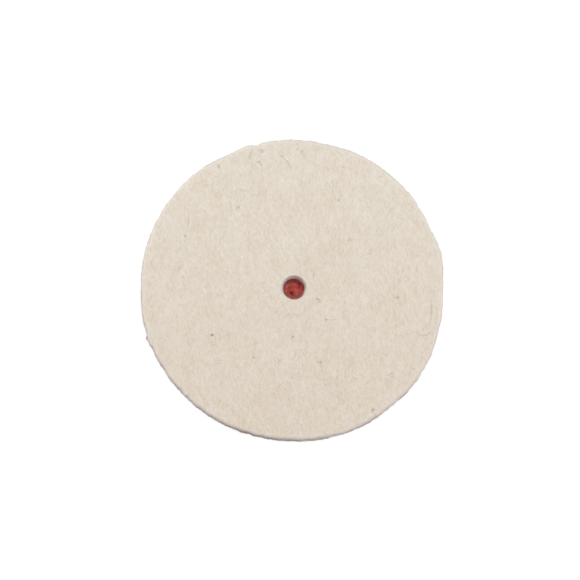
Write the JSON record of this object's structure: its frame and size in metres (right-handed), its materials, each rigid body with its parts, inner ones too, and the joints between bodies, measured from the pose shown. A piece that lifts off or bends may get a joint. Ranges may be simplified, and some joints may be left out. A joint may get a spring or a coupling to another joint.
{
  "type": "felt polishing disc",
  "caption": "Flat round polishing disc of pressed wool felt with a small hole near its centre and a soft loop cloth back that presses onto a hook-faced backing plate.",
  "frame": {"origin": "where the centre hole's axis meets the back face of the loop pile, which is the face the disc lies on", "axes": "+Z along the hole's axis, out of the polishing face; the disc is round, so +X and +Y are any two directions across it, chosen so that the outline's centre lies towards -X and -Y of the hole"},
  "size_m": [0.15, 0.15, 0.01],
  "materials": {
    "felt": "matte",
    "adhesive": "satin",
    "knit_cloth": "matte",
    "loops": "matte"
  },
  "bodies": {
    "root": {"felt_pad": "felt", "bond_film": "adhesive", "backing_cloth": "knit_cloth", "loop_pile": "loops"}
  },
  "joints": []
}
